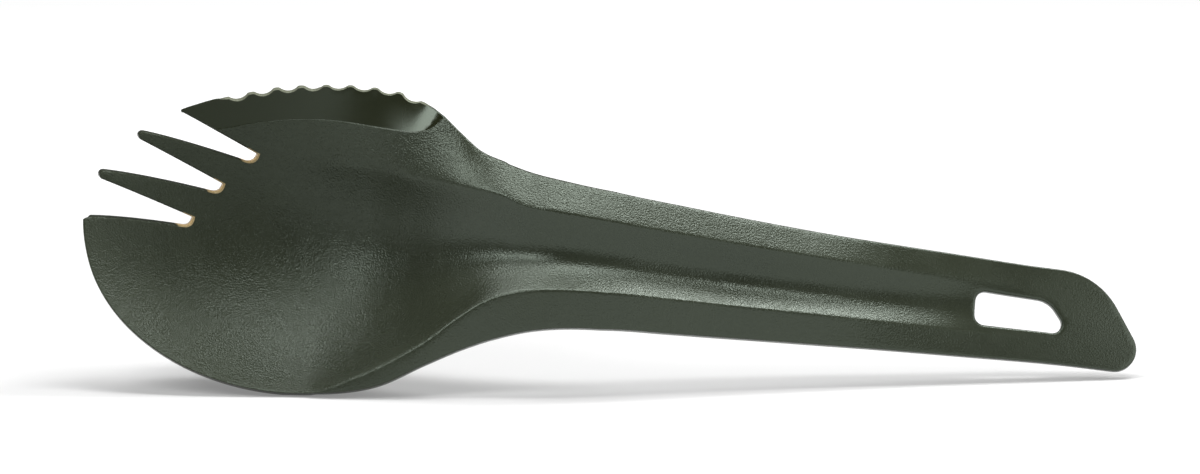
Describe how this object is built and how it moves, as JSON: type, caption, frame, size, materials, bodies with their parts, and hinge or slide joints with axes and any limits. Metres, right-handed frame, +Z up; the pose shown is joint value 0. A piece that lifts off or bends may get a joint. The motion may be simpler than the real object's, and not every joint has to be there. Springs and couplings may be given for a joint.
{
  "type": "spork",
  "caption": "Moulded plastic camping spork with a deep bowl, front tines, a serrated cutting edge along one side and a channelled handle that ends in a lanyard slot.",
  "frame": {"origin": "centre of the spork's bounding box in plan, on the surface that it rests on, under the bowl's belly and the end of the handle", "axes": "+X from the bowl's tip to the end of the handle, +Y towards the serrated blade side, +Z up out of the open bowl"},
  "size_m": [0.1785, 0.0533, 0.0226],
  "materials": {
    "moulded_plastic": "dark olive green, fine moulded grain, with a smooth glossy bevel at the serrated edge"
  },
  "bodies": {
    "root": {"spork": "moulded_plastic"}
  },
  "joints": []
}
